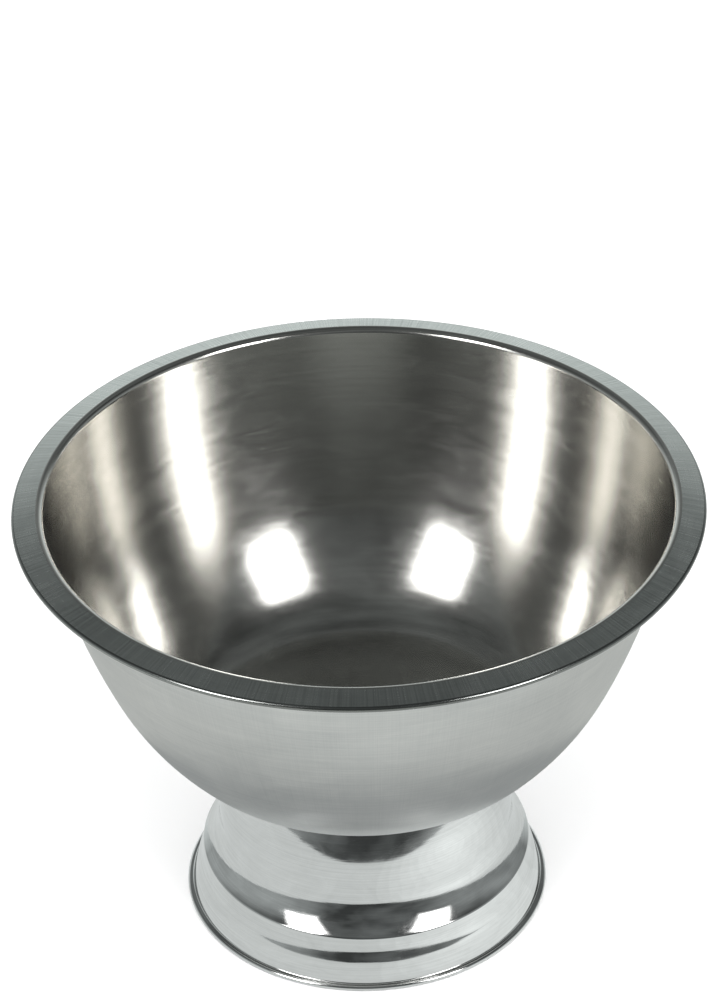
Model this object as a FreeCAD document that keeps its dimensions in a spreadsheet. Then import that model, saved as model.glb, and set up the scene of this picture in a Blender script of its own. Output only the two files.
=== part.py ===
"""Footed champagne bowl: a spun steel bowl bolted down on a spun pedestal foot.

Lengths are millimetres. The origin is the middle of the ring that the foot stands on, +Z is up,
and every piece but the hex nut and the spring washer is turned about the Z axis.
"""
import FreeCAD, Part
import math
import os
import Sketcher

SIZES = {
    # sheet and its rolled edges
    "gauge": 0.8,
    "wire_radius": 0.9,
    "hem_wire": 0.8,
    "roll_turn": 280.0,
    # bowl, outer face from the base up
    "base_height": 105.2,
    "base_radius": 81.5,
    "knuckle_radius": 39.5,
    "knuckle_top": 114.9,
    "hip_radius": 75.2,
    "hip_top": 121.6,
    "belly_radius": 166.4,
    "belly_top": 166.7,
    "rim_radius": 187.5,
    "rim_height": 260.3,
    "mouth_radius": 174.4,
    "mouth_bend": 2.8,
    "flange_slope": 11.0,
    # foot, outer face from its top plate down
    "neck_bend": 4.0,
    "neck_top": 100.4,
    "neck_curve": 185.0,
    "waist_height": 57.0,
    "waist_radius": 83.3,
    "cove_top": 52.4,
    "cove_turn": 47.0,
    "brow_bend": 2.2,
    "brow_lean": 8.2,
    "brow_flat": 4.0,
    "swell_curve": 31.0,
    "swell_turn": 14.0,
    "skirt_lean": 14.6,
    "skirt_radius": 100.1,
    "hem_bend": 0.8,
    "foot_radius": 103.3,
    "tread_depth": 0.1,
    # joint between bowl and foot
    "gasket_thick": 1.5,
    "gasket_radius": 73.0,
    "gasket_bore": 30.0,
    "plate_radius": 20.0,
    "stud_radius": 4.0,
    "stud_length": 26.0,
    "stud_bevel": 0.8,
    "clearance": 0.5,
    "washer_radius": 24.0,
    "washer_thick": 2.5,
    "spring_radius": 7.4,
    "spring_thick": 2.0,
    "spring_gap": 1.5,
    "nut_flats": 13.0,
    "nut_thick": 6.5,
    "nut_bevel": 0.6,
}

FORMULAS = {
    "roll_radius": "=wire_radius + gauge",
    "hem_radius": "=hem_wire + gauge",
    "seat_height": "=base_height - gasket_thick",
    "clamp_height": "=seat_height - gauge",
    "spring_height": "=clamp_height - washer_thick",
    "nut_height": "=spring_height - spring_thick",
    "hole_radius": "=stud_radius + clearance",
    "nut_radius": "=nut_flats / sqrt(3)",
}

doc = FreeCAD.newDocument("footed_bowl")


def make_sheet():
    """Put every driving number and formula in a spreadsheet, one aliased cell each."""
    cells = doc.addObject("Spreadsheet::Sheet", "sizes")
    rows = list(SIZES.items()) + list(FORMULAS.items())
    for row, (alias, value) in enumerate(rows, start=1):
        cells.set(f"A{row}", alias)
        cells.set(f"B{row}", str(value))
        cells.setAlias(f"B{row}", alias)
    doc.recompute()
    return cells


sheet = make_sheet()


def size(alias):
    """Value of one cell."""
    return float(sheet.get(alias))


def new_body(name):
    """Empty body whose Label names its file."""
    body = doc.addObject("PartDesign::Body", name)
    body.Label = name
    return body


def new_sketch(body, name, plane):
    """Sketch flat on one of the body's own origin planes."""
    sketch = body.newObject("Sketcher::SketchObject", name)
    support = next(item for item in body.Origin.OriginFeatures if item.Role == plane)
    sketch.AttachmentSupport = (support, [""])
    sketch.MapMode = "FlatFace"
    return sketch


def bind(sketch, label, formula, *constraint):
    """Add a dimension to a sketch and drive it from the sheet."""
    index = sketch.addConstraint(Sketcher.Constraint(*constraint))
    sketch.renameConstraint(index, label)
    sketch.setExpression(f"Constraints.{label}", formula)


def cell(formula):
    """Formula in cell names, written for use outside the sheet."""
    words = formula.split()
    return " ".join(f"sizes.{word}" if word in SIZES or word in FORMULAS else word for word in words)


def axis_distance(sketch, label, formula, kind, edge, point):
    """Horizontal or vertical distance of a sketch point from the origin, driven from the sheet."""
    bind(sketch, label, cell(formula), kind, -1, 1, edge, point, size_of(formula))


def size_of(formula):
    """Value of a formula of sums and differences of cells."""
    total = 0.0
    sign = 1.0
    for word in formula.split():
        if word in "+-":
            sign = 1.0 if word == "+" else -1.0
        else:
            total += sign * size(word)
    return total


class SpunWall:
    """Half section of a spun sheet wall, drawn as two parallel chains of tangent lines and arcs.

    The first face is walked from edge to edge: each step is a straight run or a bend, given by its
    radius and its turn in degrees (left positive). The second face lies one gauge to the left
    (side 1) or to the right (side -1), its bends about the same centres.
    """

    def __init__(self, sketch, start, side):
        self.sketch = sketch
        self.side = side
        self.place = FreeCAD.Vector(start[0], start[1], 0)
        self.heading = 0.0
        self.near = []
        self.far = []

    def normal(self):
        """Unit vector to the left of the walk."""
        return FreeCAD.Vector(-math.sin(self.heading), math.cos(self.heading), 0)

    def run(self, length):
        """Straight stretch of both faces."""
        along = FreeCAD.Vector(math.cos(self.heading), math.sin(self.heading), 0)
        end = self.place + along * length
        offset = self.normal() * (self.side * size("gauge"))
        near = self.sketch.addGeometry(Part.LineSegment(self.place, end), False)
        far = self.sketch.addGeometry(Part.LineSegment(self.place + offset, end + offset), False)
        self.place = end
        return self.keep(near, far, 1, 2)

    def bend(self, radius, turn):
        """Bend of both faces about one centre."""
        way = 1 if turn > 0 else -1
        centre = self.place + self.normal() * (way * radius)
        start_angle = self.heading - way * math.pi / 2
        self.heading += math.radians(turn)
        end_angle = self.heading - way * math.pi / 2
        low, high = sorted((start_angle, end_angle))
        edges = []
        for reach in (radius, radius - way * self.side * size("gauge")):
            circle = Part.Circle(centre, FreeCAD.Vector(0, 0, 1), reach)
            edges.append(self.sketch.addGeometry(Part.ArcOfCircle(circle, low, high), False))
        self.place = centre - self.normal() * (way * radius)
        self.sketch.addConstraint(Sketcher.Constraint("Coincident", edges[0], 3, edges[1], 3))
        first, last = (1, 2) if way > 0 else (2, 1)
        return self.keep(edges[0], edges[1], first, last)

    def keep(self, near, far, first, last):
        """Join the new stretch to the one before it, tangent on both faces."""
        for chain, edge in ((self.near, near), (self.far, far)):
            if chain:
                before, _, tail = chain[-1]
                self.sketch.addConstraint(Sketcher.Constraint("Tangent", before, tail, edge, first))
            chain.append((edge, first, last))
        return near, first, last

    def close(self):
        """Close the section with a square cut at each edge of the sheet."""
        near, head, _ = self.near[0]
        far = self.far[0][0]
        cut = self.cap(near, head, far, head)
        self.sketch.addConstraint(Sketcher.Constraint("Vertical", cut))
        bind(self.sketch, "gauge", "sizes.gauge", "Distance", cut, size("gauge"))
        near, _, tail = self.near[-1]
        far = self.far[-1][0]
        cut = self.cap(near, tail, far, tail)
        self.sketch.addConstraint(Sketcher.Constraint("PointOnObject", near, 3, cut))

    def cap(self, near, near_point, far, far_point):
        """Straight edge across the sheet."""
        points = [self.sketch.getPoint(near, near_point), self.sketch.getPoint(far, far_point)]
        cut = self.sketch.addGeometry(Part.LineSegment(*points), False)
        self.sketch.addConstraint(Sketcher.Constraint("Coincident", cut, 1, near, near_point))
        self.sketch.addConstraint(Sketcher.Constraint("Coincident", cut, 2, far, far_point))
        return cut


def turn_about_axis(body, sketch, name, kind="PartDesign::Revolution"):
    """Full revolution, or groove, of a sketch about its vertical axis."""
    feature = body.newObject(kind, name)
    feature.Profile = sketch
    feature.ReferenceAxis = (sketch, ["V_Axis"])
    feature.Angle = 360.0
    body.Tip = feature
    return feature


def degrees_between(high, low, radius):
    """Angle whose cosines differ as two heights do on a bend of the given radius."""
    return math.degrees(math.acos(1.0 - (high - low) / radius))


def make_bowl():
    """Bowl: flat base, three bends into a steep side, and a sloping flange rolled over a wire."""
    body = new_body("bowl")
    sketch = new_sketch(body, "bowl_section", "XZ_Plane")
    wall = SpunWall(sketch, (0.0, size("base_height")), 1)

    base = wall.run(size("base_radius"))
    knuckle_turn = degrees_between(size("knuckle_top"), size("base_height"), size("knuckle_radius"))
    knuckle = wall.bend(size("knuckle_radius"), knuckle_turn)
    hip = wall.bend(size("hip_radius"), rising_turn(wall, "hip_top", "hip_radius"))
    belly = wall.bend(size("belly_radius"), rising_turn(wall, "belly_top", "belly_radius"))

    # the side is the arc that leaves the belly smoothly and meets the mouth bend smoothly
    slope = math.radians(size("flange_slope"))
    top_bend = size("mouth_bend") + size("gauge")
    flange_rise = (size("rim_radius") - size("roll_radius") - size("mouth_radius")) * math.tan(slope)
    flange_top = size("rim_height") + size("roll_radius") / math.cos(slope) + flange_rise
    mouth = FreeCAD.Vector(size("mouth_radius"), flange_top, 0)
    centre = mouth - FreeCAD.Vector(math.sin(slope), math.cos(slope), 0) * top_bend
    gap = wall.place - centre
    side_radius = gap.Length ** 2 - size("mouth_bend") ** 2
    side_radius /= 2 * (size("mouth_bend") - gap.dot(wall.normal()))
    side_centre = wall.place + wall.normal() * side_radius
    meeting = centre - side_centre
    side_end = math.degrees(math.atan2(meeting.y, meeting.x)) + 90.0
    wall.bend(side_radius, side_end - math.degrees(wall.heading))
    mouth_bend = wall.bend(size("mouth_bend"), -size("flange_slope") - side_end)
    flange = wall.run(size("rim_radius") - size("roll_radius") - wall.place.x)
    roll = wall.bend(size("wire_radius"), -size("roll_turn"))
    wall.close()

    sketch.addConstraint(Sketcher.Constraint("PointOnObject", base[0], 1, -2))
    sketch.addConstraint(Sketcher.Constraint("Horizontal", base[0]))
    sketch.addConstraint(Sketcher.Constraint("Horizontal", wall.far[0][0]))
    sketch.addConstraint(Sketcher.Constraint("Parallel", flange[0], wall.far[-2][0]))
    axis_distance(sketch, "base_height", "base_height", "DistanceY", base[0], 1)
    axis_distance(sketch, "base_radius", "base_radius", "DistanceX", base[0], 2)
    for name, bend in (("knuckle", knuckle), ("hip", hip), ("belly", belly)):
        bind(sketch, f"{name}_radius", f"sizes.{name}_radius", "Radius", bend[0], size(f"{name}_radius"))
        axis_distance(sketch, f"{name}_top", f"{name}_top", "DistanceY", bend[0], bend[2])
    bind(sketch, "mouth_bend", "sizes.mouth_bend", "Radius", mouth_bend[0], size("mouth_bend"))
    bind(sketch, "slope", "-sizes.flange_slope * 1 deg", "Angle", flange[0], -slope)
    far_mouth, _, far_mouth_end = wall.far[-3]
    axis_distance(sketch, "mouth_radius", "mouth_radius", "DistanceX", far_mouth, far_mouth_end)
    finish_roll(sketch, roll, "wire_radius", "rim_radius - roll_radius", "rim_height")
    turn_about_axis(body, sketch, "bowl_spin")
    return body


def rising_turn(wall, top, radius):
    """Turn that takes a left bend from the walk's place up to a height."""
    drop = (size(top) - wall.place.y) / size(radius)
    return math.degrees(math.acos(math.cos(wall.heading) - drop) - wall.heading)


def finish_roll(sketch, roll, radius, reach, height):
    """Fix a rolled edge's centre, its turn and the radius of its first face."""
    bind(sketch, "roll_radius", cell(radius), "Radius", roll[0], size(radius))
    axis_distance(sketch, "roll_reach", reach, "DistanceX", roll[0], 3)
    axis_distance(sketch, "roll_height", height, "DistanceY", roll[0], 3)
    bind(sketch, "roll_turn", "sizes.roll_turn * 1 deg", "Angle", roll[0], math.radians(size("roll_turn")))


def bend_reach(radius, start, end):
    """How far a bend goes between two headings in degrees."""
    first, last = math.radians(start), math.radians(end)
    reach = FreeCAD.Vector(math.sin(last) - math.sin(first), math.cos(first) - math.cos(last), 0)
    return reach * (radius if end > start else -radius)


def run_reach(length, heading):
    """How far a straight stretch goes along a heading in degrees."""
    slope = math.radians(heading)
    return FreeCAD.Vector(math.cos(slope), math.sin(slope), 0) * length


def crossed(first, second):
    """Size of the cross product of two flat vectors."""
    return first.x * second.y - first.y * second.x


def make_foot():
    """Foot: flat top plate, waisted neck, cove, brow, swelling skirt and a hem rolled over a wire."""
    body = new_body("foot")
    sketch = new_sketch(body, "foot_section", "XZ_Plane")
    wall = SpunWall(sketch, (size("hole_radius"), size("seat_height")), -1)

    rise = size("neck_top") - size("waist_height")
    neck_lean = math.degrees(math.asin(rise / size("neck_curve")))
    neck_radius = size("waist_radius") - size("neck_curve") * (1 - math.cos(math.radians(neck_lean)))
    plate_radius = neck_radius - size("neck_bend") * math.cos(math.radians(neck_lean))
    plate = wall.run(plate_radius - size("hole_radius"))
    neck_bend = wall.bend(size("neck_bend"), neck_lean - 90.0)
    neck = wall.bend(size("neck_curve"), -neck_lean)
    barrel = wall.run(size("waist_height") - size("cove_top"))

    # the cove's radius and the skirt's length are the ones that bring the section down on the hem
    cove_end = size("cove_turn") - 90.0
    brow_end = size("brow_lean") - 90.0
    swell_end = brow_end + size("swell_turn")
    skirt_heading = size("skirt_lean") - 90.0
    hem_height = size("hem_radius") * 2 - size("tread_depth")
    skirt_end = FreeCAD.Vector(size("skirt_radius"), hem_height, 0)
    skirt_end.y -= bend_reach(size("hem_bend"), skirt_heading, 0.0).y
    gap = skirt_end - wall.place - bend_reach(size("brow_bend"), cove_end, brow_end)
    gap -= run_reach(size("brow_flat"), brow_end) + bend_reach(size("swell_curve"), brow_end, swell_end)
    gap -= bend_reach(size("swell_curve"), swell_end, skirt_heading)
    cove_way = bend_reach(1.0, -90.0, cove_end)
    skirt_way = run_reach(1.0, skirt_heading)
    cove_radius = crossed(gap, skirt_way) / crossed(cove_way, skirt_way)
    skirt_length = crossed(cove_way, gap) / crossed(cove_way, skirt_way)

    cove = wall.bend(cove_radius, size("cove_turn"))
    brow = wall.bend(size("brow_bend"), brow_end - cove_end)
    brow_flat = wall.run(size("brow_flat"))
    swell_out = wall.bend(size("swell_curve"), size("swell_turn"))
    swell_in = wall.bend(size("swell_curve"), skirt_heading - swell_end)
    skirt = wall.run(skirt_length)
    hem_bend = wall.bend(size("hem_bend"), -skirt_heading)
    hem = wall.run(size("foot_radius") - size("hem_radius") - wall.place.x)
    roll = wall.bend(size("hem_radius"), -size("roll_turn"))
    wall.close()

    for edge in (plate[0], wall.far[0][0], hem[0], wall.far[-2][0]):
        sketch.addConstraint(Sketcher.Constraint("Horizontal", edge))
    straight = (barrel[0], brow_flat[0], skirt[0])
    for (near, _, _), (far, _, _) in zip(wall.near, wall.far):
        if near in straight:
            sketch.addConstraint(Sketcher.Constraint("Parallel", near, far))
    axis_distance(sketch, "hole_radius", "hole_radius", "DistanceX", plate[0], 1)
    axis_distance(sketch, "seat_height", "seat_height", "DistanceY", plate[0], 1)
    bends = {
        "neck_bend": neck_bend,
        "neck_curve": neck,
        "brow_bend": brow,
        "hem_bend": hem_bend,
    }
    for name, bend in bends.items():
        bind(sketch, name, f"sizes.{name}", "Radius", bend[0], size(name))
    for name, bend in (("swell_out", swell_out), ("swell_in", swell_in)):
        bind(sketch, name, "sizes.swell_curve", "Radius", bend[0], size("swell_curve"))
    for name, bend in (("cove_turn", cove), ("swell_turn", swell_out)):
        bind(sketch, name, f"sizes.{name} * 1 deg", "Angle", bend[0], math.radians(size(name)))
    axis_distance(sketch, "waist_centre", "waist_height", "DistanceY", neck[0], 3)
    axis_distance(sketch, "waist_height", "waist_height", "DistanceY", neck[0], neck[2])
    axis_distance(sketch, "waist_radius", "waist_radius", "DistanceX", neck[0], neck[2])
    axis_distance(sketch, "cove_top", "cove_top", "DistanceY", barrel[0], 2)
    bind(sketch, "brow_lean", "(sizes.brow_lean - 90) * 1 deg", "Angle", brow_flat[0], math.radians(brow_end))
    bind(sketch, "brow_flat", "sizes.brow_flat", "Distance", brow_flat[0], size("brow_flat"))
    bind(sketch, "skirt_lean", "(sizes.skirt_lean - 90) * 1 deg", "Angle", skirt[0],
         math.radians(skirt_heading))
    axis_distance(sketch, "skirt_radius", "skirt_radius", "DistanceX", skirt[0], 2)
    finish_roll(sketch, roll, "hem_radius", "foot_radius - hem_radius", "hem_radius - tread_depth")
    turn_about_axis(body, sketch, "foot_spin")

    # dress the hem flat where it stands
    tread = new_sketch(body, "tread_section", "XZ_Plane")
    inner = size("skirt_radius") - size("hem_radius")
    outer = size("foot_radius") + size("hem_radius")
    add_rectangle(tread, (inner, -size("hem_radius")), (outer, 0.0))
    doc.recompute()
    before = body.Shape.Volume
    turn_about_axis(body, tread, "tread_cut", "PartDesign::Groove")
    doc.recompute()
    if body.Shape.Volume >= before:
        raise RuntimeError("the tread cut removed nothing")
    return body


def add_rectangle(sketch, low, high):
    """Four joined straight edges between two opposite corners."""
    corners = [(low[0], low[1]), (high[0], low[1]), (high[0], high[1]), (low[0], high[1])]
    edges = []
    for start, end in zip(corners, corners[1:] + corners[:1]):
        line = Part.LineSegment(FreeCAD.Vector(*start, 0), FreeCAD.Vector(*end, 0))
        edges.append(sketch.addGeometry(line, False))
    for edge, after in zip(edges, edges[1:] + edges[:1]):
        sketch.addConstraint(Sketcher.Constraint("Coincident", edge, 2, after, 1))
    for edge, way in zip(edges, ("Horizontal", "Vertical") * 2):
        sketch.addConstraint(Sketcher.Constraint(way, edge))
    return edges


def add_circle(sketch, alias):
    """Circle about the origin whose radius is a cell."""
    circle = Part.Circle(FreeCAD.Vector(0, 0, 0), FreeCAD.Vector(0, 0, 1), size(alias))
    index = sketch.addGeometry(circle, False)
    sketch.addConstraint(Sketcher.Constraint("Coincident", index, 3, -1, 1))
    bind(sketch, alias, f"sizes.{alias}", "Radius", index, size(alias))
    return index


def raise_pad(body, sketch, name, thickness, bottom):
    """Pad a sketch by one cell and lift the body to another."""
    pad = body.newObject("PartDesign::Pad", name)
    pad.Profile = sketch
    pad.setExpression("Length", cell(thickness))
    body.Tip = pad
    body.setExpression("Placement.Base.z", cell(bottom))
    return pad


def make_disc(name, radius, bore, thickness, bottom):
    """Flat round piece, with a hole in the middle if a bore is named."""
    body = new_body(name)
    sketch = new_sketch(body, f"{name}_outline", "XY_Plane")
    add_circle(sketch, radius)
    if bore:
        add_circle(sketch, bore)
    raise_pad(body, sketch, f"{name}_pad", thickness, bottom)
    return body


def make_edge_wire(name, thickness, radius, height):
    """Closed ring of wire, of a given radius of section, inside a rolled edge."""
    wire = doc.addObject("Part::Torus", name)
    wire.Label = name
    wire.setExpression("Radius1", cell(radius))
    wire.setExpression("Radius2", cell(thickness))
    wire.setExpression("Placement.Base.z", cell(height))
    return wire


def make_stud():
    """Threaded stud, drawn at its outer diameter, hanging from the bowl's base."""
    body = make_disc("weld_stud", "stud_radius", None, "stud_length", "base_height - stud_length")
    doc.recompute()
    pad = doc.getObject("weld_stud_pad")
    bottom = min(range(len(pad.Shape.Faces)), key=lambda i: pad.Shape.Faces[i].CenterOfMass.z)
    chamfer = body.newObject("PartDesign::Chamfer", "stud_lead")
    chamfer.Base = (pad, [f"Face{bottom + 1}"])
    chamfer.setExpression("Size", "sizes.stud_bevel")
    body.Tip = chamfer
    return body


def make_spring_washer():
    """Split lock washer, pressed flat."""
    body = make_disc("spring_washer", "spring_radius", "hole_radius", "spring_thick", "nut_height")
    doc.recompute()
    before = body.Shape.Volume
    sketch = new_sketch(body, "split_outline", "XY_Plane")
    half = size("spring_gap") / 2
    edges = add_rectangle(sketch, (0.0, -half), (size("spring_radius") * 1.5, half))
    bind(sketch, "below", "sizes.spring_gap / 2", "DistanceY", edges[1], 1, -1, 1, half)
    bind(sketch, "above", "sizes.spring_gap / 2", "DistanceY", -1, 1, edges[1], 2, half)
    split = body.newObject("PartDesign::Pocket", "split")
    split.Profile = sketch
    split.Type = "ThroughAll"
    split.Reversed = True
    body.Tip = split
    doc.recompute()
    if body.Shape.Volume >= before:
        raise RuntimeError("the split removed nothing")
    return body


def make_nut():
    """Hexagon nut with both faces bevelled at the corners."""
    body = new_body("hex_nut")
    sketch = new_sketch(body, "hex_nut_outline", "XY_Plane")
    corner = size("nut_radius")
    points = [FreeCAD.Vector(corner, 0, 0)]
    for step in range(1, 6):
        angle = math.radians(60 * step)
        points.append(FreeCAD.Vector(corner * math.cos(angle), corner * math.sin(angle), 0))
    sides = []
    for start, end in zip(points, points[1:] + points[:1]):
        sides.append(sketch.addGeometry(Part.LineSegment(start, end), False))
    for side, after in zip(sides, sides[1:] + sides[:1]):
        sketch.addConstraint(Sketcher.Constraint("Coincident", side, 2, after, 1))
    guide = sketch.addGeometry(Part.Circle(FreeCAD.Vector(), FreeCAD.Vector(0, 0, 1), corner), True)
    sketch.addConstraint(Sketcher.Constraint("Coincident", guide, 3, -1, 1))
    bind(sketch, "corner", "sizes.nut_radius", "Radius", guide, corner)
    for side in sides:
        sketch.addConstraint(Sketcher.Constraint("PointOnObject", side, 1, guide))
    for side in sides[1:]:
        sketch.addConstraint(Sketcher.Constraint("Equal", sides[0], side))
    sketch.addConstraint(Sketcher.Constraint("PointOnObject", sides[0], 1, -1))
    add_circle(sketch, "stud_radius")
    raise_pad(body, sketch, "hex_nut_pad", "nut_thick", "nut_height - nut_thick")
    doc.recompute()

    before = body.Shape.Volume
    bevel = new_sketch(body, "bevel_section", "XZ_Plane")
    flat = size("nut_flats") / 2
    out = corner + size("nut_bevel")
    drop = (out - flat) * math.tan(math.radians(30))
    for level, way in ((0.0, 1), (size("nut_thick"), -1)):
        triangle = [(flat, level), (out, level), (out, level + way * drop)]
        for start, end in zip(triangle, triangle[1:] + triangle[:1]):
            line = Part.LineSegment(FreeCAD.Vector(*start, 0), FreeCAD.Vector(*end, 0))
            bevel.addGeometry(line, False)
    turn_about_axis(body, bevel, "bevel", "PartDesign::Groove")
    doc.recompute()
    if body.Shape.Volume >= before:
        raise RuntimeError("the bevel removed nothing")
    return body


def check_document():
    """Stop if any object of the document failed to compute."""
    for item in doc.Objects:
        if any(word in ("Invalid", "Error") for word in item.State):
            raise RuntimeError(f"{item.Name} failed: {item.State}")


def write_pieces(pieces):
    """Check each piece's solid and write it to a file named after it."""
    os.makedirs("parts", exist_ok=True)
    for piece in pieces:
        shape = piece.Shape
        if shape.isNull() or not shape.isValid() or len(shape.Solids) != 1:
            raise RuntimeError(f"{piece.Label} is not one valid solid")
        shape.exportStep(f"parts/{piece.Label}.step")
        print(f"{piece.Label}: {shape.Volume / 1000:.3f} cm3, top at {shape.BoundBox.ZMax:.2f} mm")


pieces = [
    make_bowl(),
    make_edge_wire("rim_edge_wire", "wire_radius", "rim_radius - roll_radius", "rim_height"),
    make_foot(),
    make_edge_wire("foot_edge_wire", "hem_wire", "foot_radius - hem_radius", "hem_radius - tread_depth"),
    make_disc("seat_gasket", "gasket_radius", "gasket_bore", "gasket_thick", "seat_height"),
    make_disc("stud_plate", "plate_radius", "stud_radius", "gasket_thick", "seat_height"),
    make_stud(),
    make_disc("clamp_washer", "washer_radius", "hole_radius", "washer_thick", "spring_height"),
    make_spring_washer(),
    make_nut(),
]
doc.recompute()
check_document()
write_pieces(pieces)
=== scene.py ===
"""Visual model of the footed champagne bowl, over the CAD frame. Lengths are metres, turns degrees."""

import bpy
import math
from mathutils import Matrix, Vector


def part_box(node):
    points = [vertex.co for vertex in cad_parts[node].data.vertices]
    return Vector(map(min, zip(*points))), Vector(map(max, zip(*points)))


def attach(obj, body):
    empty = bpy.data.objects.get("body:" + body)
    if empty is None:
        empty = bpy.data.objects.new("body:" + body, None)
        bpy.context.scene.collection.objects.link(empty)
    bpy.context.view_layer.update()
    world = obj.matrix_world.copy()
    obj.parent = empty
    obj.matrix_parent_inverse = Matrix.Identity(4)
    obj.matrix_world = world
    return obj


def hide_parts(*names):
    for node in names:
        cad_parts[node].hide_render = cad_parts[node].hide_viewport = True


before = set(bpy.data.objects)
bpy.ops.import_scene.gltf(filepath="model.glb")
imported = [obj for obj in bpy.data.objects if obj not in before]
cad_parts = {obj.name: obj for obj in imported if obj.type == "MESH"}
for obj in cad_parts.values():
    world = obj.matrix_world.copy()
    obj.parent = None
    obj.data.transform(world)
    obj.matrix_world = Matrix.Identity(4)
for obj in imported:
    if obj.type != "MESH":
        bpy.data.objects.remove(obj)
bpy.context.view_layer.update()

MM = 0.001
GAUGE = 0.8 * MM
# Steps round the axis of a turned piece, and the radius under which a point counts as on that axis.
AROUND = 288
ON_AXIS = 1e-7
# What the lamps point at, the top of the foot.
AIM = Vector((0.0, 0.0, 0.1))
# A softbox's panels, each with its size against the lamp's own and its glare, and the share of the
# lamp's distance by which each stands behind the one before.
SOFTBOX_PANELS = ((1.3, 0.5), (1.15, 1.2), (1.0, 5.5))
SOFTBOX_GAP = 0.004

BOWL = {
    "base_height": 105.2 * MM,
    "base_radius": 81.5 * MM,
    "knuckle_radius": 39.5 * MM,
    "knuckle_turn": 41.02,
    "hip_radius": 75.2 * MM,
    "hip_turn": 7.27,
    "belly_radius": 166.4 * MM,
    "belly_turn": 18.49,
    "side_radius": 423.2 * MM,
    "side_turn": 13.37,
    "mouth_bend": 2.8 * MM,
    "flange_slope": 11.0,
    "wire_radius": 0.9 * MM,
    "rim_radius": 187.5 * MM,
    "roll_turn": 280.0,
}

FOOT = {
    "seat_height": 103.7 * MM,
    "hole_radius": 4.5 * MM,
    "plate_radius": 74.25 * MM,
    "neck_bend": 4.0 * MM,
    "neck_curve": 185.0 * MM,
    "neck_lean": 13.57,
    "barrel": 4.6 * MM,
    "cove_radius": 29.88 * MM,
    "cove_turn": 47.0,
    "brow_bend": 2.2 * MM,
    "brow_lean": 8.2,
    "brow_flat": 4.0 * MM,
    "swell_curve": 31.0 * MM,
    "swell_turn": 14.0,
    "skirt_lean": 14.6,
    "skirt_length": 10.88 * MM,
    "hem_bend": 0.8 * MM,
    "roll_radius": 1.6 * MM,
    "foot_radius": 103.3 * MM,
    "roll_turn": 280.0,
}


class Outline:
    """Half section of a turned piece, as points and facets, walked with its skin on the right.

    A walk whose skin is on the left is turned with mirrored=True. Each facet joins two points in a
    row and keeps the heading at its two ends, so that the skin is smooth along a bend and sharp
    where two stretches meet at an angle. It also keeps two skins: the one it lies on, and the one
    on the sheet's other face, for the walk back.
    """

    def __init__(self, radius, height, heading=0.0):
        self.points = [(radius, height)]
        self.facets = []
        self.heading = heading
        self.skins = (0, 0)

    def add(self, point, start, end):
        self.points.append(point)
        self.facets.append((start, end, self.skins))

    def run(self, length, parts=1):
        radius, height = self.points[-1]
        slope = math.radians(self.heading)
        for part in range(1, parts + 1):
            reach = length * part / parts
            point = (radius + reach * math.cos(slope), height + reach * math.sin(slope))
            self.add(point, self.heading, self.heading)

    def bend(self, bend_radius, turn, step=3.0):
        way = 1.0 if turn > 0 else -1.0
        radius, height = self.points[-1]
        start = math.radians(self.heading)
        centre = (radius - way * bend_radius * math.sin(start), height + way * bend_radius * math.cos(start))
        parts = max(3, math.ceil(abs(turn) / step))
        for part in range(1, parts + 1):
            before = self.heading + turn * (part - 1) / parts
            after = self.heading + turn * part / parts
            slope = math.radians(after)
            point = (
                centre[0] + way * bend_radius * math.sin(slope),
                centre[1] - way * bend_radius * math.cos(slope),
            )
            self.add(point, before, after)
        self.heading += turn

    def back(self, thickness):
        """Walk back along the other face of a sheet, after a square cut, to where the walk began."""
        there = list(zip(self.points, self.points[1:], self.facets))
        square = math.copysign(90.0, thickness)
        last, (_, end, skins) = self.points[-1], self.facets[-1]
        self.points.append(beside(last, end, thickness))
        self.facets.append((end + square, end + square, skins))
        for start_point, _, (start, end, skins) in reversed(there):
            self.points.append(beside(start_point, start, thickness))
            self.facets.append((end + 180.0, start + 180.0, skins[::-1]))

    def close(self):
        """Straight cut from the last point to the first."""
        first, last = self.points[0], self.points[-1]
        heading = math.degrees(math.atan2(first[1] - last[1], first[0] - last[0]))
        self.facets.append((heading, heading, self.facets[0][2]))


def beside(point, heading, distance):
    """Point at a distance to the left of a walk."""
    slope = math.radians(heading)
    return point[0] - distance * math.sin(slope), point[1] + distance * math.cos(slope)


def lathe(name, outline, materials, closed=False, mirrored=False):
    """Turn an outline about the Z axis into a mesh whose normals follow the outline exactly."""
    points = outline.points
    vertices = []
    rings = []
    for radius, height in points:
        count = 1 if radius < ON_AXIS else AROUND
        rings.append((len(vertices), count))
        for step in range(count):
            angle = 2 * math.pi * step / AROUND
            vertices.append((radius * math.cos(angle), radius * math.sin(angle), height))
    faces = []
    normals = []
    skins = []
    pairs = list(zip(range(len(points) - 1), range(1, len(points))))
    if closed:
        pairs.append((len(points) - 1, 0))
    for (low, high), (start, end, sides) in zip(pairs, outline.facets):
        for step in range(AROUND):
            face = []
            for vertex, at_end, turn in facet_corners(rings[low], rings[high], step):
                if vertex in face:
                    continue
                face.append(vertex)
                normals.append(skin_normal(end if at_end else start, turn, mirrored))
            if mirrored:
                face.reverse()
                normals[-len(face):] = normals[-len(face):][::-1]
            faces.append(face)
            skins.append(sides[0])
    mesh = bpy.data.meshes.new(name)
    mesh.from_pydata(vertices, [], faces)
    mesh.polygons.foreach_set("material_index", skins)
    mesh.polygons.foreach_set("use_smooth", [True] * len(faces))
    mesh.update()
    mesh.normals_split_custom_set(normals)
    piece = bpy.data.objects.new(name, mesh)
    bpy.context.scene.collection.objects.link(piece)
    for material in materials:
        mesh.materials.append(material)
    return piece


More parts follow.
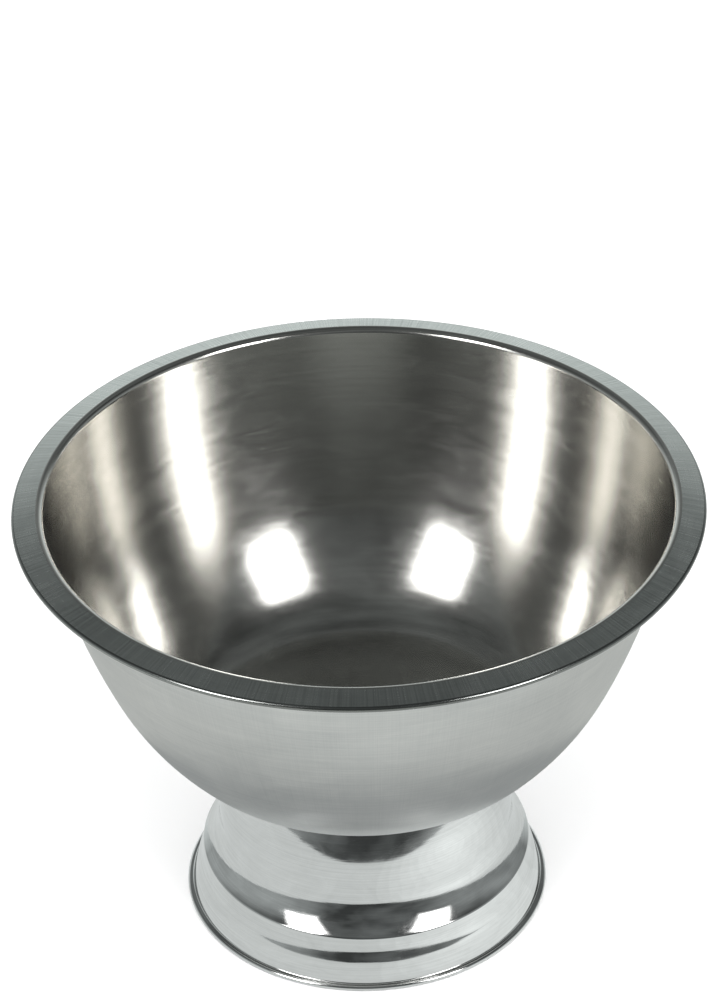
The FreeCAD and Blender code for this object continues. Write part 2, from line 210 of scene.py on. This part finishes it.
def facet_corners(low, high, step):
    """Corners of one patch between two rings: (vertex, whether on the second ring, step round)."""
    after = (step + 1) % AROUND
    corners = []
    for (first, count), at_end, turn in (
        (low, False, step),
        (low, False, after),
        (high, True, after),
        (high, True, step),
    ):
        corners.append((first + (turn if count > 1 else 0), at_end, turn))
    return corners


def skin_normal(heading, turn, mirrored):
    """Normal to the right of a heading, or to its left if mirrored, at a step round the axis."""
    slope = math.radians(heading)
    angle = 2 * math.pi * turn / AROUND
    side = -1.0 if mirrored else 1.0
    out = side * math.sin(slope)
    return out * math.cos(angle), out * math.sin(angle), -side * math.cos(slope)


class Nodes:
    """Short calls for the nodes of one material."""

    def __init__(self, material):
        material.use_nodes = True
        self.material = material
        self.tree = material.node_tree

    def node(self, kind, inputs, **settings):
        node = self.tree.nodes.new(kind)
        for key, value in settings.items():
            setattr(node, key, value)
        for key, value in inputs.items():
            self.feed(node.inputs[key], value)
        return node.outputs

    def feed(self, socket, value):
        if isinstance(value, bpy.types.NodeSocket):
            self.tree.links.new(value, socket)
        else:
            socket.default_value = value

    def maths(self, operation, first, second=0.0, third=0.0):
        return self.node("ShaderNodeMath", {0: first, 1: second, 2: third}, operation=operation)[0]

    def spread(self, value, low, high, start=0.0, end=1.0):
        """Value taken from low..high to start..end, and held there."""
        inputs = {0: value, 1: low, 2: high, 3: start, 4: end}
        return self.node("ShaderNodeMapRange", inputs)[0]

    def noise(self, vector, scale=1.0, detail=2.0, rough=0.5, warp=0.0):
        inputs = {"Vector": vector, "Scale": scale, "Detail": detail, "Roughness": rough, "Distortion": warp}
        return self.node("ShaderNodeTexNoise", inputs)["Fac"]


class Shader(Nodes):
    """Metal or plain surface, with its coordinates and colours."""

    def __init__(self, name):
        super().__init__(bpy.data.materials.new(name))
        self.surface = self.tree.nodes["Principled BSDF"]
        self.place = self.node("ShaderNodeTexCoord", {})["Object"]

    def set(self, **inputs):
        """Feed inputs of the surface, named with _ for each space."""
        for key, value in inputs.items():
            self.feed(self.surface.inputs[key.replace("_", " ")], value)

    def turned(self, around, along, falling=False):
        """Coordinates wrapped round the Z axis: low around gives long rings, low along long spokes.

        falling is for a wall that goes down as it goes out, so that along still grows down the wall.
        """
        parts = self.node("ShaderNodeSeparateXYZ", {0: self.place})
        flat = self.node("ShaderNodeCombineXYZ", {"X": parts["X"], "Y": parts["Y"]})[0]
        radius = self.node("ShaderNodeVectorMath", {0: flat}, operation="LENGTH")["Value"]
        unit = self.node("ShaderNodeVectorMath", {0: flat}, operation="NORMALIZE")[0]
        wrap = self.node("ShaderNodeVectorMath", {0: unit, "Scale": around}, operation="SCALE")[0]
        height = self.maths("MULTIPLY", parts["Z"], -1.0 if falling else 1.0)
        reach = self.maths("MULTIPLY", self.maths("ADD", radius, height), along)
        lift = self.node("ShaderNodeCombineXYZ", {"Z": reach})[0]
        return self.node("ShaderNodeVectorMath", {0: wrap, 1: lift}, operation="ADD")[0]

    def shade(self, factor, dark, light):
        """Colour between dark, where the factor is 0, and light, where it is 1."""
        node = self.tree.nodes.new("ShaderNodeMix")
        node.data_type = "RGBA"
        self.feed(node.inputs["Factor"], factor)
        colours = [socket for socket in node.inputs if socket.type == "RGBA"]
        self.feed(colours[0], (*dark, 1.0))
        self.feed(colours[1], (*light, 1.0))
        return next(socket for socket in node.outputs if socket.type == "RGBA")

    def bump(self, height, distance, strength=1.0, under=None):
        inputs = {"Height": height, "Distance": distance, "Strength": strength}
        if under is not None:
            inputs["Normal"] = under
        return self.node("ShaderNodeBump", inputs)["Normal"]


def satin_steel(name, dark, light, rough, ring_along=900.0, spoke_around=420.0, across=0.45):
    """Steel brushed both round and across, with cloudy handling marks; across is the spokes' share."""
    shader = Shader(name)
    rings = shader.noise(shader.turned(around=2.4, along=ring_along), detail=3.0)
    fine = shader.noise(shader.turned(around=5.0, along=ring_along * 3.5), detail=2.0)
    spokes = shader.noise(shader.turned(around=spoke_around, along=14.0), detail=2.0)
    clouds = shader.noise(shader.turned(around=2.6, along=26.0), detail=4.0, rough=0.6, warp=0.6)
    lines = shader.maths("MULTIPLY_ADD", spokes, across, shader.maths("MULTIPLY", rings, 1.0 - across))
    tone = shader.maths("MULTIPLY_ADD", clouds, 0.5, shader.maths("MULTIPLY", lines, 0.5))
    shader.set(Metallic=1.0, Anisotropic=0.35)
    shader.set(Base_Color=shader.shade(shader.spread(tone, 0.34, 0.66), dark, light))
    cloud_wear = 0.16
    line_wear = 0.14
    wear = shader.maths("MULTIPLY_ADD", clouds, cloud_wear, shader.maths("MULTIPLY", lines, line_wear))
    shader.set(Roughness=shader.maths("ADD", wear, rough - (cloud_wear + line_wear) / 2))
    shader.set(Tangent=shader.node("ShaderNodeTangent", {}, direction_type="RADIAL", axis="Z")[0])
    broad = shader.bump(lines, distance=0.05 * MM, strength=0.5)
    shader.set(Normal=shader.bump(fine, distance=0.02 * MM, strength=0.5, under=broad))
    return shader.material


def mirror_steel(name, dark, light, rough, falling=False, ripple=0.04 * MM, haze=0.10):
    """Steel polished bright, with rings left by the spinning tool and a few faint scratches.

    ripple is the rings' height, and haze the roughness that smears add.
    """
    shader = Shader(name)
    rings = shader.noise(shader.turned(around=1.6, along=1400.0, falling=falling), detail=3.0)
    waves = shader.noise(shader.turned(around=3.0, along=110.0, falling=falling), detail=1.0)
    smeared = shader.turned(around=4.0, along=60.0, falling=falling)
    smears = shader.noise(smeared, detail=4.0, rough=0.65, warp=0.8)
    marks = shader.noise(shader.turned(around=9.0, along=2200.0, falling=falling), detail=1.0)
    scratches = shader.spread(marks, 0.70, 0.76)
    shader.set(Metallic=1.0)
    tone = shader.maths("MULTIPLY_ADD", rings, 0.5, shader.maths("MULTIPLY", smears, 0.5))
    shader.set(Base_Color=shader.shade(shader.spread(tone, 0.35, 0.65), dark, light))
    wear = shader.maths("MULTIPLY_ADD", shader.spread(smears, 0.45, 0.75), haze, rough)
    shader.set(Roughness=shader.maths("MULTIPLY_ADD", scratches, 0.08, wear))
    broad = shader.bump(waves, distance=ripple * 6.0, strength=0.35)
    shader.set(Normal=shader.bump(rings, distance=ripple, strength=0.25, under=broad))
    return shader.material


def wire_steel(name):
    """Drawn wire, dull grey with die lines along it."""
    shader = Shader(name)
    lines = shader.noise(shader.turned(around=1.2, along=5000.0), detail=2.0)
    shader.set(Metallic=1.0, Base_Color=shader.shade(lines, (0.34, 0.34, 0.33), (0.5, 0.5, 0.49)))
    shader.set(Roughness=shader.spread(lines, 0.2, 0.8, start=0.3, end=0.5))
    shader.set(Normal=shader.bump(lines, distance=0.02 * MM, strength=0.5))
    return shader.material


def rubber(name):
    """Black moulded rubber with a fine grain and pale dust."""
    shader = Shader(name)
    grain = shader.noise(shader.place, scale=2600.0, detail=3.0)
    dust = shader.noise(shader.place, scale=60.0, detail=5.0, rough=0.7)
    black = (0.012, 0.012, 0.013)
    dusty = (0.05, 0.048, 0.045)
    shader.set(Base_Color=shader.shade(shader.spread(dust, 0.45, 0.8), black, dusty))
    shader.set(Roughness=shader.spread(dust, 0.3, 0.8, start=0.62, end=0.85))
    shader.set(Normal=shader.bump(grain, distance=0.1 * MM, strength=0.4))
    return shader.material


def plated_steel(name, dark, light, rough):
    """Plated fixing steel with a cloudy finish and turning marks."""
    shader = Shader(name)
    clouds = shader.noise(shader.place, scale=320.0, detail=5.0, rough=0.65)
    marks = shader.noise(shader.turned(around=3.0, along=4200.0), detail=2.0)
    shader.set(Metallic=1.0, Base_Color=shader.shade(shader.spread(clouds, 0.3, 0.7), dark, light))
    shader.set(Roughness=shader.maths("MULTIPLY_ADD", clouds, 0.25, rough - 0.1))
    shader.set(Normal=shader.bump(marks, distance=0.03 * MM, strength=0.5))
    return shader.material


def bowl_outline():
    """Skin 0 is the outside, 1 the flange, 2 the inside with the bend above it, 3 the roll."""
    walk = Outline(0.0, BOWL["base_height"])
    walk.skins = (0, 2)
    walk.run(BOWL["base_radius"], parts=12)
    walk.bend(BOWL["knuckle_radius"], BOWL["knuckle_turn"])
    walk.bend(BOWL["hip_radius"], BOWL["hip_turn"], step=1.0)
    walk.bend(BOWL["belly_radius"], BOWL["belly_turn"], step=1.5)
    walk.bend(BOWL["side_radius"], BOWL["side_turn"], step=0.5)
    walk.bend(BOWL["mouth_bend"], -BOWL["flange_slope"] - walk.heading, step=4.0)
    walk.skins = (0, 1)
    slope = math.radians(BOWL["flange_slope"])
    roll_centre = BOWL["rim_radius"] - BOWL["wire_radius"] - GAUGE
    flange = roll_centre + BOWL["wire_radius"] * math.sin(slope) - walk.points[-1][0]
    walk.run(flange / math.cos(slope), parts=3)
    walk.skins = (0, 3)
    walk.bend(BOWL["wire_radius"], -BOWL["roll_turn"], step=10.0)
    walk.back(GAUGE)
    return walk


def foot_outline():
    """One skin, walked outwards and down the outer face, on its left, from the hole in the top plate."""
    walk = Outline(FOOT["hole_radius"], FOOT["seat_height"])
    walk.run(FOOT["plate_radius"] - FOOT["hole_radius"], parts=8)
    walk.bend(FOOT["neck_bend"], FOOT["neck_lean"] - 90.0, step=6.0)
    walk.bend(FOOT["neck_curve"], -FOOT["neck_lean"], step=1.2)
    walk.run(FOOT["barrel"])
    walk.bend(FOOT["cove_radius"], FOOT["cove_turn"], step=2.0)
    walk.bend(FOOT["brow_bend"], FOOT["brow_lean"] - 90.0 - walk.heading, step=6.0)
    walk.run(FOOT["brow_flat"])
    walk.bend(FOOT["swell_curve"], FOOT["swell_turn"], step=2.0)
    walk.bend(FOOT["swell_curve"], FOOT["skirt_lean"] - 90.0 - walk.heading, step=2.0)
    walk.run(FOOT["skirt_length"])
    walk.bend(FOOT["hem_bend"], -walk.heading, step=9.0)
    walk.run(FOOT["foot_radius"] - FOOT["roll_radius"] - walk.points[-1][0])
    walk.bend(FOOT["roll_radius"], -FOOT["roll_turn"], step=12.0)
    walk.back(-GAUGE)
    walk.close()
    return walk


def make_bowl():
    outside = satin_steel("satin_outside", (0.66, 0.67, 0.67), (0.84, 0.84, 0.83), rough=0.34)
    flange = satin_steel(
        "satin_flange",
        (0.52, 0.54, 0.52),
        (0.82, 0.84, 0.81),
        rough=0.25,
        ring_along=1500.0,
        spoke_around=230.0,
        across=0.8,
    )
    inside = mirror_steel(
        "mirror_inside",
        (0.58, 0.57, 0.54),
        (0.70, 0.69, 0.66),
        rough=0.16,
        ripple=0.02 * MM,
        haze=0.04,
    )
    # The roll's dark colour is a painted reflection of a dark room, which draws a dark line round the rim's
    # outer edge.
    roll = mirror_steel("roll_painted_reflection", (0.22, 0.23, 0.22), (0.34, 0.35, 0.34), rough=0.16)
    piece = lathe("bowl_shell", bowl_outline(), (outside, flange, inside, roll))
    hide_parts("bowl")
    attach(piece, "root")


def make_foot():
    polish = mirror_steel("mirror_foot", (0.72, 0.72, 0.71), (0.84, 0.84, 0.83), rough=0.05, falling=True)
    piece = lathe("foot_shell", foot_outline(), (polish,), closed=True, mirrored=True)
    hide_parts("foot")
    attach(piece, "root")


def make_stud():
    """Stud with its thread wound as one ridge from the weld down to the pointed end."""
    low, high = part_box("weld_stud")
    radius = (high.x - low.x) / 2
    pitch = 1.25 * MM
    depth = 0.6 * MM
    lead_in = 1.2 * MM
    point = 0.8 * MM
    steps = 48
    rows_in_pitch = 8
    rows = int((high.z - low.z) / pitch * rows_in_pitch)
    vertices = []
    for row in range(rows + 1):
        height = low.z + (high.z - low.z) * row / rows
        lead = min(1.0, (height - low.z) / lead_in, (high.z - height) / lead_in)
        taper = point * (1.0 - lead) if height < low.z + 2 * pitch else 0.0
        for step in range(steps):
            angle = 2 * math.pi * step / steps
            phase = (height / pitch - step / steps) % 1.0
            groove = depth * (1.0 - abs(2.0 * phase - 1.0)) * lead
            reach = radius - groove - taper
            vertices.append((reach * math.cos(angle), reach * math.sin(angle), height))
    faces = []
    for row in range(rows):
        for step in range(steps):
            after = (step + 1) % steps
            first, second = row * steps, (row + 1) * steps
            faces.append((first + step, first + after, second + after, second + step))
    faces.append(tuple(reversed(range(steps))))
    faces.append(tuple(rows * steps + step for step in range(steps)))
    mesh = bpy.data.meshes.new("stud_thread")
    mesh.from_pydata(vertices, [], faces)
    mesh.update()
    mesh.materials.append(plated_steel("stud_steel", (0.48, 0.48, 0.47), (0.66, 0.66, 0.64), rough=0.35))
    piece = bpy.data.objects.new("stud_thread", mesh)
    bpy.context.scene.collection.objects.link(piece)
    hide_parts("weld_stud")
    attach(piece, "root")


def dress(node, material, edge=0.0):
    """Finish for a CAD piece that is kept as it is, with its sharp edges eased if edge isn't 0."""
    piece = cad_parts[node]
    piece.data.materials.clear()
    piece.data.materials.append(material)
    if edge:
        ease = piece.modifiers.new("eased_edge", "BEVEL")
        ease.width = edge
        ease.segments = 2
        ease.limit_method = "ANGLE"
        ease.angle_limit = math.radians(50.0)
        ease.harden_normals = True


def make_small_pieces():
    wire = wire_steel("drawn_wire")
    zinc = plated_steel("zinc_plate", (0.50, 0.51, 0.52), (0.70, 0.71, 0.71), rough=0.32)
    dress("rim_edge_wire", wire)
    dress("foot_edge_wire", wire)
    dress("seat_gasket", rubber("gasket_rubber"), edge=0.3 * MM)
    plate = plated_steel("plate_steel", (0.46, 0.46, 0.45), (0.62, 0.62, 0.6), rough=0.36)
    dress("stud_plate", plate, edge=0.2 * MM)
    dress("clamp_washer", zinc, edge=0.3 * MM)
    spring = plated_steel("spring_steel", (0.3, 0.3, 0.31), (0.46, 0.46, 0.46), rough=0.34)
    dress("spring_washer", spring, edge=0.15 * MM)
    dress("hex_nut", zinc, edge=0.15 * MM)


def glow(name, colour, strength):
    """Nodes of a material that only gives light, and the socket for its strength."""
    nodes = Nodes(bpy.data.materials.new(name))
    nodes.tree.nodes.clear()
    light = nodes.tree.nodes.new("ShaderNodeEmission")
    light.inputs["Color"].default_value = (*colour, 1.0)
    light.inputs["Strength"].default_value = strength
    nodes.node("ShaderNodeOutputMaterial", {"Surface": light.outputs[0]})
    return nodes, light.inputs["Strength"]


def flat_disc(name, across, deep, height, material):
    """Flat oval, centred on the Z axis, with its half widths across and deep."""
    steps = 128
    mesh = bpy.data.meshes.new(name)
    rim = [2 * math.pi * step / steps for step in range(steps)]
    points = [(across * math.cos(angle), deep * math.sin(angle), height) for angle in rim]
    mesh.from_pydata(points, [], [tuple(range(steps))])
    mesh.materials.append(material)
    piece = bpy.data.objects.new(name, mesh)
    bpy.context.scene.collection.objects.link(piece)
    return piece


def reflections_only(piece):
    """Let a piece of the stage be seen in the steel and nowhere else."""
    piece.visible_camera = False
    piece.visible_diffuse = False
    piece.visible_shadow = False
    piece.visible_transmission = False
    piece.visible_volume_scatter = False


def make_room():
    """Dome seen only in the steel: dim room in front and overhead, paler sides, pale backdrop behind."""
    shader, strength = glow("room_glow", (0.93, 1.0, 1.0), 1.0)
    spot = shader.node("ShaderNodeNewGeometry", {})["Position"]
    way = shader.node("ShaderNodeVectorMath", {0: spot}, operation="NORMALIZE")[0]
    parts = shader.node("ShaderNodeSeparateXYZ", {0: way})
    behind = shader.spread(parts["Y"], 0.62, 0.88)
    above = shader.spread(parts["Z"], -0.22, -0.12)
    below = shader.spread(parts["Z"], 0.30, 0.62, start=1.0, end=0.0)
    backdrop = shader.maths("MULTIPLY", shader.maths("MULTIPLY", behind, above), below)
    left = shader.spread(parts["X"], -0.45, -0.8, start=0.0, end=0.26)
    right = shader.spread(parts["X"], 0.5, 0.9, start=0.0, end=0.16)
    sides = shader.maths("MULTIPLY", shader.maths("ADD", left, right), below)
    panels = shader.noise(way, scale=2.2, detail=3.0)
    dim = shader.maths("ADD", shader.spread(panels, 0.35, 0.7, start=0.05, end=0.16), sides)
    backdrop_glare = 0.7
    shader.feed(strength, shader.maths("MULTIPLY_ADD", backdrop, backdrop_glare, dim))
    bpy.ops.mesh.primitive_uv_sphere_add(radius=6.0, segments=64, ring_count=32)
    room = bpy.context.object
    room.name = "room"
    room.data.materials.append(shader.material)
    reflections_only(room)
    return room


def make_floor():
    shader = Shader("floor_paint")
    mottle = shader.noise(shader.place, scale=3.0, detail=3.0)
    shader.set(Base_Color=shader.shade(mottle, (0.9, 0.9, 0.9), (0.93, 0.93, 0.93)), Roughness=0.9)
    floor = flat_disc("floor", across=12.0, deep=12.0, height=0.0, material=shader.material)
    floor.visible_glossy = False
    return floor


def make_light(name, place, across, deep, power, shines=True):
    """Rectangular lamp pointed at AIM; shines says whether the steel mirrors it."""
    data = bpy.data.lights.new(name, "AREA")
    data.shape = "RECTANGLE"
    data.size = across
    data.size_y = deep
    data.energy = power
    light = bpy.data.objects.new(name, data)
    light.location = place
    light.visible_glossy = shines
    light.rotation_euler = (AIM - Vector(place)).to_track_quat("-Z", "Y").to_euler()
    bpy.context.scene.collection.objects.link(light)


def make_softbox(name, place, across, deep):
    """Lamp that fades towards its edges, made of nested panels, one behind another, that add up."""
    for layer, (grow, glare) in enumerate(SOFTBOX_PANELS):
        power = glare * math.pi * across * deep * grow ** 2
        spot = Vector(place) * (1.0 + SOFTBOX_GAP * layer)
        make_light(f"{name}_{layer}", spot, across * grow, deep * grow, power)


def make_table(name, seen_by, place, across, deep, glare, colour):
    """Glowing oval of table, facing up, whose light only one piece takes."""
    data = bpy.data.lights.new(name, "AREA")
    data.shape = "ELLIPSE"
    data.size = 2 * across
    data.size_y = 2 * deep
    data.energy = glare * math.pi * math.pi * across * deep
    data.color = colour
    table = bpy.data.objects.new(name, data)
    table.location = place
    table.rotation_euler = (math.pi, 0.0, 0.0)
    bpy.context.scene.collection.objects.link(table)
    seen = bpy.data.collections.new(f"{name}_seen_by")
    seen.objects.link(bpy.data.objects[seen_by])
    table.light_linking.receiver_collection = seen


def make_shade(name, across, deep, height):
    """Black oval in the reflections, which hides what lies below it."""
    black, _ = glow(name, (0.0, 0.0, 0.0), 0.0)
    shade = flat_disc(name, across, deep, height, black.material)
    reflections_only(shade)
    return shade


def make_reflected_table():
    """Pale table as the steel sees it: shaded round the foot, and dark past its front edge.

    Each oval lies a layer above the one before. A black one hides what lies below it, and a lamp
    adds its light to what lies below it.
    """
    layer = 0.1 * MM
    warm = (0.97, 1.0, 0.965)
    cool = (0.955, 1.0, 0.995)
    reach = {"across": 0.42, "deep": 0.2195}
    shaded = {"across": 0.19, "deep": 0.19}
    wide = {"across": 1.2, "deep": 1.2}
    backing = make_shade("table_backing", height=layer, **reach)
    make_table("far_table", "bowl_shell", (0.0, 0.0, 2 * layer), glare=0.56, colour=warm, **wide)
    shadow = make_shade("table_shadow", height=3 * layer, **shaded)
    make_table("near_table", "bowl_shell", (0.0, 0.0, 4 * layer), glare=0.34, colour=cool, **shaded)
    make_table("foot_table", "foot_shell", (0.0, 0.0, 5 * layer), glare=0.68, colour=cool, **reach)
    make_bright_patch((0.16, -0.12), 6 * layer, cool)
    return backing, shadow


def make_bright_patch(centre, height, colour):
    """Brighter round patch of the foot's table, as nested ovals that fade outwards."""
    steps = 8
    widest = 0.15
    gap = 0.02 * MM
    for step in range(steps):
        radius = widest * (step + 1) / steps
        place = (*centre, height + gap * step)
        name = f"bright_patch_{step}"
        make_table(name, "foot_shell", place, radius, radius, glare=0.045, colour=colour)


def make_world():
    """Even white light from all round, which the steel doesn't mirror."""
    world = bpy.data.worlds.new("studio")
    bpy.context.scene.world = world
    world.use_nodes = True
    background = world.node_tree.nodes["Background"]
    background.inputs["Color"].default_value = (1.0, 1.0, 1.0, 1.0)
    background.inputs["Strength"].default_value = 1.2
    world.cycles_visibility.glossy = False


def make_stage():
    make_floor()
    make_room()
    make_reflected_table()
    make_softbox("softbox_left", (-1.3, -1.3, 1.2), across=0.7, deep=1.05)
    make_softbox("softbox_right", (1.3, -1.3, 1.2), across=0.7, deep=1.05)
    make_light("softbox_top", (0.0, -1.4, 2.6), across=1.0, deep=1.0, power=14.0, shines=False)
    make_world()
    bpy.context.scene.view_settings.view_transform = "Standard"


def make_camera():
    """Camera in front of the bowl, looking down on it, with a slight roll."""
    data = bpy.data.cameras.new("camera")
    data.sensor_width = 36.0
    data.lens = 136.5
    camera = bpy.data.objects.new("camera", data)
    bpy.context.scene.collection.objects.link(camera)
    bpy.context.scene.camera = camera
    back = 1.6959
    height = 1.4098
    pitch = math.radians(34.123)
    yaw = math.radians(0.035)
    roll = math.radians(-1.283)
    ahead = Vector((math.sin(yaw) * math.cos(pitch), math.cos(yaw) * math.cos(pitch), -math.sin(pitch)))
    right = Vector((math.cos(yaw), -math.sin(yaw), 0.0))
    up = right.cross(ahead)
    level = Matrix((right, up, -ahead)).transposed()
    turned = level @ Matrix.Rotation(roll, 3, "Z")
    camera.matrix_world = Matrix.Translation((0.0, -back, height)) @ turned.to_4x4()


make_bowl()
make_foot()
make_stud()
make_small_pieces()
make_stage()
make_camera()
